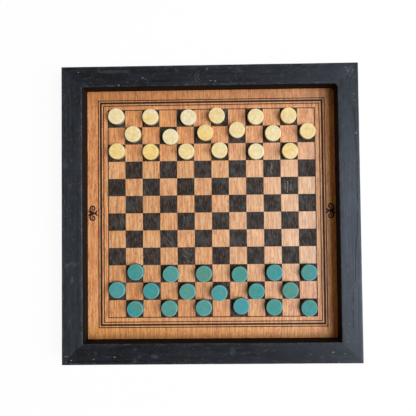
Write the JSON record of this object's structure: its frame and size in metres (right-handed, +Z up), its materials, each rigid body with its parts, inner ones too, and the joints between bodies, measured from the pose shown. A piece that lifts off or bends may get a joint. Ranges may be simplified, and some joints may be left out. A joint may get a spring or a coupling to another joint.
{
  "type": "checkers board",
  "caption": "Square checkers board in a shallow black wooden tray frame, with a printed plywood playing panel and round ivory and teal discs that lift off.",
  "frame": {"origin": "centre of the board's underside, on the table", "axes": "+Z up out of the playing face, +Y towards the ivory discs' side, +X to the right seen from the teal side"},
  "size_m": [0.43, 0.43, 0.03],
  "materials": {
    "black_painted_wood": "black paint, brushed, satin, scuffed",
    "plywood": "sanded veneer, clear sealed",
    "dark_ink": "thin dark brown printing ink, matte",
    "steel": "drawn wire",
    "ivory_painted_wood": "turned wood, ivory paint, satin",
    "teal_painted_wood": "turned wood, teal paint, satin"
  },
  "bodies": {
    "board": {"rail_back": "black_painted_wood", "rail_left": "black_painted_wood", "rail_front": "black_painted_wood", "rail_right": "black_painted_wood", "corner_nail_1": "steel", "corner_nail_2": "steel", "corner_nail_3": "steel", "corner_nail_4": "steel", "playing_panel": "plywood", "panel_pin_1": "steel", "panel_pin_2": "steel", "panel_pin_3": "steel", "panel_pin_4": "steel", "panel_pin_5": "steel", "panel_pin_6": "steel", "panel_pin_7": "steel", "panel_pin_8": "steel", "printed_squares": "dark_ink", "border_line_inner": "dark_ink", "border_line_middle": "dark_ink", "border_line_outer": "dark_ink"},
    "ivory_01": {"ivory_disc_01": "ivory_painted_wood"},
    "ivory_02": {"ivory_disc_02": "ivory_painted_wood"},
    "ivory_03": {"ivory_disc_03": "ivory_painted_wood"},
    "ivory_04": {"ivory_disc_04": "ivory_painted_wood"},
    "ivory_05": {"ivory_disc_05": "ivory_painted_wood"},
    "ivory_06": {"ivory_disc_06": "ivory_painted_wood"},
    "ivory_07": {"ivory_disc_07": "ivory_painted_wood"},
    "ivory_08": {"ivory_disc_08": "ivory_painted_wood"},
    "ivory_09": {"ivory_disc_09": "ivory_painted_wood"},
    "ivory_10": {"ivory_disc_10": "ivory_painted_wood"},
    "ivory_11": {"ivory_disc_11": "ivory_painted_wood"},
    "ivory_12": {"ivory_disc_12": "ivory_painted_wood"},
    "ivory_13": {"ivory_disc_13": "ivory_painted_wood"},
    "ivory_14": {"ivory_disc_14": "ivory_painted_wood"},
    "ivory_15": {"ivory_disc_15": "ivory_painted_wood"},
    "ivory_16": {"ivory_disc_16": "ivory_painted_wood"},
    "ivory_17": {"ivory_disc_17": "ivory_painted_wood"},
    "ivory_18": {"ivory_disc_18": "ivory_painted_wood"},
    "teal_01": {"teal_disc_01": "teal_painted_wood"},
    "teal_02": {"teal_disc_02": "teal_painted_wood"},
    "teal_03": {"teal_disc_03": "teal_painted_wood"},
    "teal_04": {"teal_disc_04": "teal_painted_wood"},
    "teal_05": {"teal_disc_05": "teal_painted_wood"},
    "teal_06": {"teal_disc_06": "teal_painted_wood"},
    "teal_07": {"teal_disc_07": "teal_painted_wood"},
    "teal_08": {"teal_disc_08": "teal_painted_wood"},
    "teal_09": {"teal_disc_09": "teal_painted_wood"},
    "teal_10": {"teal_disc_10": "teal_painted_wood"},
    "teal_11": {"teal_disc_11": "teal_painted_wood"},
    "teal_12": {"teal_disc_12": "teal_painted_wood"},
    "teal_13": {"teal_disc_13": "teal_painted_wood"},
    "teal_14": {"teal_disc_14": "teal_painted_wood"},
    "teal_15": {"teal_disc_15": "teal_painted_wood"},
    "teal_16": {"teal_disc_16": "teal_painted_wood"},
    "teal_17": {"teal_disc_17": "teal_painted_wood"},
    "teal_18": {"teal_disc_18": "teal_painted_wood"}
  },
  "joints": [
    {"name": "lift_ivory_01", "type": "slide", "parent": "board", "child": "ivory_01", "axis": [0, 0, 1], "range_m": [0, 0.04]},
    {"name": "lift_ivory_02", "type": "slide", "parent": "board", "child": "ivory_02", "axis": [0, 0, 1], "range_m": [0, 0.04]},
    {"name": "lift_ivory_03", "type": "slide", "parent": "board", "child": "ivory_03", "axis": [0, 0, 1], "range_m": [0, 0.04]},
    {"name": "lift_ivory_04", "type": "slide", "parent": "board", "child": "ivory_04", "axis": [0, 0, 1], "range_m": [0, 0.04]},
    {"name": "lift_ivory_05", "type": "slide", "parent": "board", "child": "ivory_05", "axis": [0, 0, 1], "range_m": [0, 0.04]},
    {"name": "lift_ivory_06", "type": "slide", "parent": "board", "child": "ivory_06", "axis": [0, 0, 1], "range_m": [0, 0.04]},
    {"name": "lift_ivory_07", "type": "slide", "parent": "board", "child": "ivory_07", "axis": [0, 0, 1], "range_m": [0, 0.04]},
    {"name": "lift_ivory_08", "type": "slide", "parent": "board", "child": "ivory_08", "axis": [0, 0, 1], "range_m": [0, 0.04]},
    {"name": "lift_ivory_09", "type": "slide", "parent": "board", "child": "ivory_09", "axis": [0, 0, 1], "range_m": [0, 0.04]},
    {"name": "lift_ivory_10", "type": "slide", "parent": "board", "child": "ivory_10", "axis": [0, 0, 1], "range_m": [0, 0.04]},
    {"name": "lift_ivory_11", "type": "slide", "parent": "board", "child": "ivory_11", "axis": [0, 0, 1], "range_m": [0, 0.04]},
    {"name": "lift_ivory_12", "type": "slide", "parent": "board", "child": "ivory_12", "axis": [0, 0, 1], "range_m": [0, 0.04]},
    {"name": "lift_ivory_13", "type": "slide", "parent": "board", "child": "ivory_13", "axis": [0, 0, 1], "range_m": [0, 0.04]},
    {"name": "lift_ivory_14", "type": "slide", "parent": "board", "child": "ivory_14", "axis": [0, 0, 1], "range_m": [0, 0.04]},
    {"name": "lift_ivory_15", "type": "slide", "parent": "board", "child": "ivory_15", "axis": [0, 0, 1], "range_m": [0, 0.04]},
    {"name": "lift_ivory_16", "type": "slide", "parent": "board", "child": "ivory_16", "axis": [0, 0, 1], "range_m": [0, 0.04]},
    {"name": "lift_ivory_17", "type": "slide", "parent": "board", "child": "ivory_17", "axis": [0, 0, 1], "range_m": [0, 0.04]},
    {"name": "lift_ivory_18", "type": "slide", "parent": "board", "child": "ivory_18", "axis": [0, 0, 1], "range_m": [0, 0.04]},
    {"name": "lift_teal_01", "type": "slide", "parent": "board", "child": "teal_01", "axis": [0, 0, 1], "range_m": [0, 0.04]},
    {"name": "lift_teal_02", "type": "slide", "parent": "board", "child": "teal_02", "axis": [0, 0, 1], "range_m": [0, 0.04]},
    {"name": "lift_teal_03", "type": "slide", "parent": "board", "child": "teal_03", "axis": [0, 0, 1], "range_m": [0, 0.04]},
    {"name": "lift_teal_04", "type": "slide", "parent": "board", "child": "teal_04", "axis": [0, 0, 1], "range_m": [0, 0.04]},
    {"name": "lift_teal_05", "type": "slide", "parent": "board", "child": "teal_05", "axis": [0, 0, 1], "range_m": [0, 0.04]},
    {"name": "lift_teal_06", "type": "slide", "parent": "board", "child": "teal_06", "axis": [0, 0, 1], "range_m": [0, 0.04]},
    {"name": "lift_teal_07", "type": "slide", "parent": "board", "child": "teal_07", "axis": [0, 0, 1], "range_m": [0, 0.04]},
    {"name": "lift_teal_08", "type": "slide", "parent": "board", "child": "teal_08", "axis": [0, 0, 1], "range_m": [0, 0.04]},
    {"name": "lift_teal_09", "type": "slide", "parent": "board", "child": "teal_09", "axis": [0, 0, 1], "range_m": [0, 0.04]},
    {"name": "lift_teal_10", "type": "slide", "parent": "board", "child": "teal_10", "axis": [0, 0, 1], "range_m": [0, 0.04]},
    {"name": "lift_teal_11", "type": "slide", "parent": "board", "child": "teal_11", "axis": [0, 0, 1], "range_m": [0, 0.04]},
    {"name": "lift_teal_12", "type": "slide", "parent": "board", "child": "teal_12", "axis": [0, 0, 1], "range_m": [0, 0.04]},
    {"name": "lift_teal_13", "type": "slide", "parent": "board", "child": "teal_13", "axis": [0, 0, 1], "range_m": [0, 0.04]},
    {"name": "lift_teal_14", "type": "slide", "parent": "board", "child": "teal_14", "axis": [0, 0, 1], "range_m": [0, 0.04]},
    {"name": "lift_teal_15", "type": "slide", "parent": "board", "child": "teal_15", "axis": [0, 0, 1], "range_m": [0, 0.04]},
    {"name": "lift_teal_16", "type": "slide", "parent": "board", "child": "teal_16", "axis": [0, 0, 1], "range_m": [0, 0.04]},
    {"name": "lift_teal_17", "type": "slide", "parent": "board", "child": "teal_17", "axis": [0, 0, 1], "range_m": [0, 0.04]},
    {"name": "lift_teal_18", "type": "slide", "parent": "board", "child": "teal_18", "axis": [0, 0, 1], "range_m": [0, 0.04]}
  ]
}
